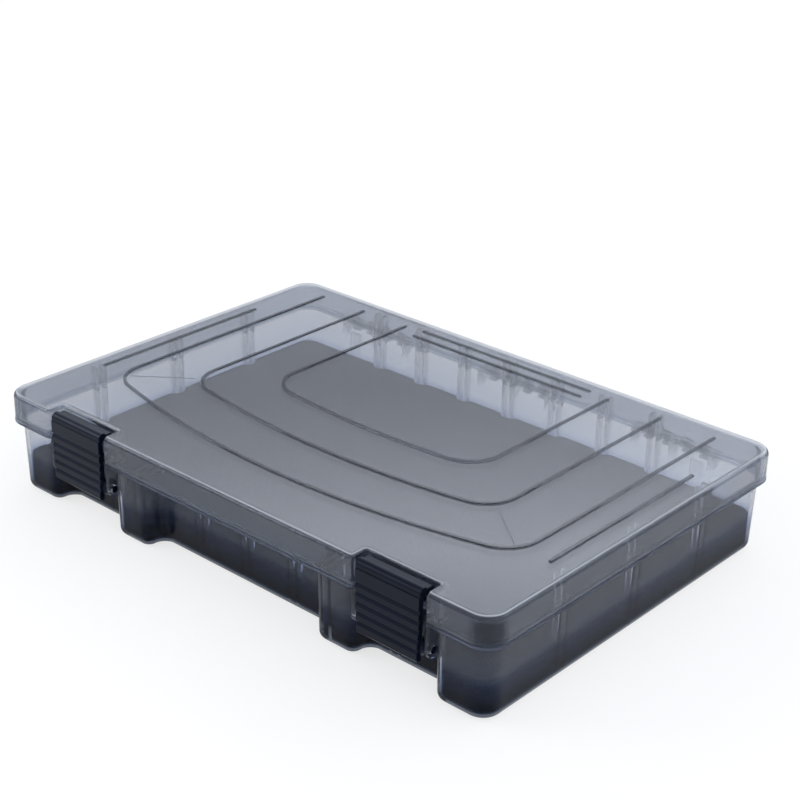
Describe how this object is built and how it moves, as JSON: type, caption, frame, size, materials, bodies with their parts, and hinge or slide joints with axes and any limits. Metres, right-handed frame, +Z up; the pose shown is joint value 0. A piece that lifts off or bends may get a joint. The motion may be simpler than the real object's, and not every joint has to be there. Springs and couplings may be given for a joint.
{
  "type": "hinged rig box",
  "caption": "Shallow translucent plastic case with a ribbed hinged lid, front snap latches and a foam sheet in the tray, for flat storage of rigs and small tackle.",
  "frame": {"origin": "on the resting plane, below the middle of the lid", "axes": "+X along the front to the right, +Y from the latches to the hinges, +Z up"},
  "size_m": [0.2752, 0.1927, 0.0473],
  "materials": {
    "tray_plastic": "translucent smoke grey",
    "lid_plastic": "translucent smoke grey",
    "latch_plastic": "satin black",
    "foam": "fine closed-cell foam"
  },
  "bodies": {
    "tray": {"base_tray": "tray_plastic", "foam_insert": "foam"},
    "lid": {"lid": "lid_plastic"},
    "latch_left": {"latch_left": "latch_plastic"},
    "latch_right": {"latch_right": "latch_plastic"}
  },
  "joints": [
    {"name": "lid_hinge", "type": "hinge", "parent": "tray", "child": "lid", "pos_m": [0, 0.0953, 0.0312], "axis": [-1, 0, 0], "range_deg": [0, 180]},
    {"name": "latch_left_pivot", "type": "hinge", "parent": "tray", "child": "latch_left", "pos_m": [-0.089, -0.0892, 0.0205], "axis": [1, 0, 0], "range_deg": [0, 110]},
    {"name": "latch_right_pivot", "type": "hinge", "parent": "tray", "child": "latch_right", "pos_m": [0.089, -0.0892, 0.0205], "axis": [1, 0, 0], "range_deg": [0, 110]}
  ]
}
